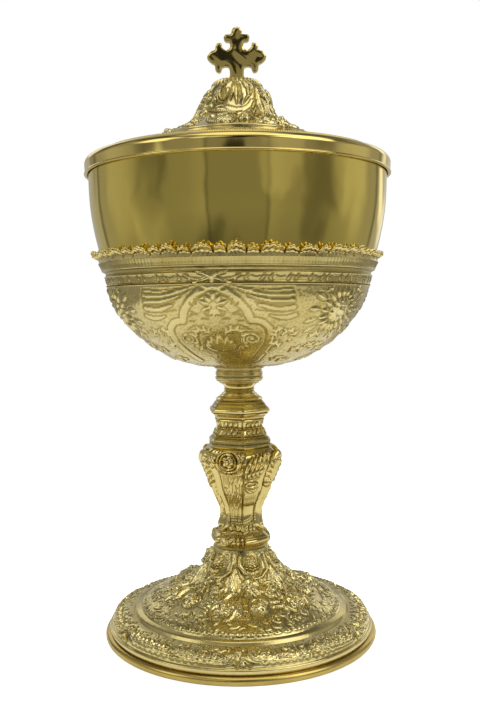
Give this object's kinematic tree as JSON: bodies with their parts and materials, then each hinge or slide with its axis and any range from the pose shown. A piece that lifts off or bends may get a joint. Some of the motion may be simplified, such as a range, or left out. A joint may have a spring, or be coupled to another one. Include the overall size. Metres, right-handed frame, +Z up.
{
  "type": "ciborium",
  "caption": "Lidded gilt ciborium: an embossed foot, a knopped hexagonal stem, a polished cup in a leaf-crested calyx, and a lift-off lid with a cross.",
  "frame": {"origin": "on the vertical axis, in the plane that the base ring stands on", "axes": "+Z up along the axis; -Y faces the front of the cross, +X to its right"},
  "size_m": [0.122, 0.122, 0.2452],
  "materials": {
    "gilt_mirror": "mirror-polished gilt brass",
    "gilt_polished": "polished gilt brass",
    "gilt_cast": "gilt casting, bright on the high places",
    "gilt_embossed": "gilt relief on a fine stippled ground",
    "brass_inner": "turned brass, unpolished",
    "steel_fastener": "plain threaded steel"
  },
  "bodies": {
    "vessel": {"base_ring": "gilt_polished", "foot_border": "gilt_embossed", "foot_dome": "gilt_embossed", "foot_plate": "brass_inner", "foot_washer": "steel_fastener", "foot_nut": "steel_fastener", "lower_ring": "gilt_cast", "knop": "gilt_cast", "shoulder_ring": "gilt_cast", "stem_waist": "gilt_cast", "upper_ring": "gilt_cast", "neck_spool": "gilt_cast", "cup_collar": "gilt_cast", "tie_rod": "steel_fastener", "calyx": "gilt_embossed", "calyx_band": "gilt_embossed", "leaf_crest": "gilt_cast", "cup_bowl": "gilt_mirror", "cup_boss": "brass_inner"},
    "lid": {"lid_shell": "gilt_polished", "lid_border": "gilt_polished", "fitting_ring": "gilt_mirror", "lid_dome": "gilt_embossed", "cross_finial": "gilt_polished", "finial_washer": "brass_inner", "finial_nut": "brass_inner"}
  },
  "joints": [
    {"name": "lid_lift", "type": "slide", "parent": "vessel", "child": "lid", "axis": [0, 0, 1], "range_m": [0, 0.13]}
  ]
}
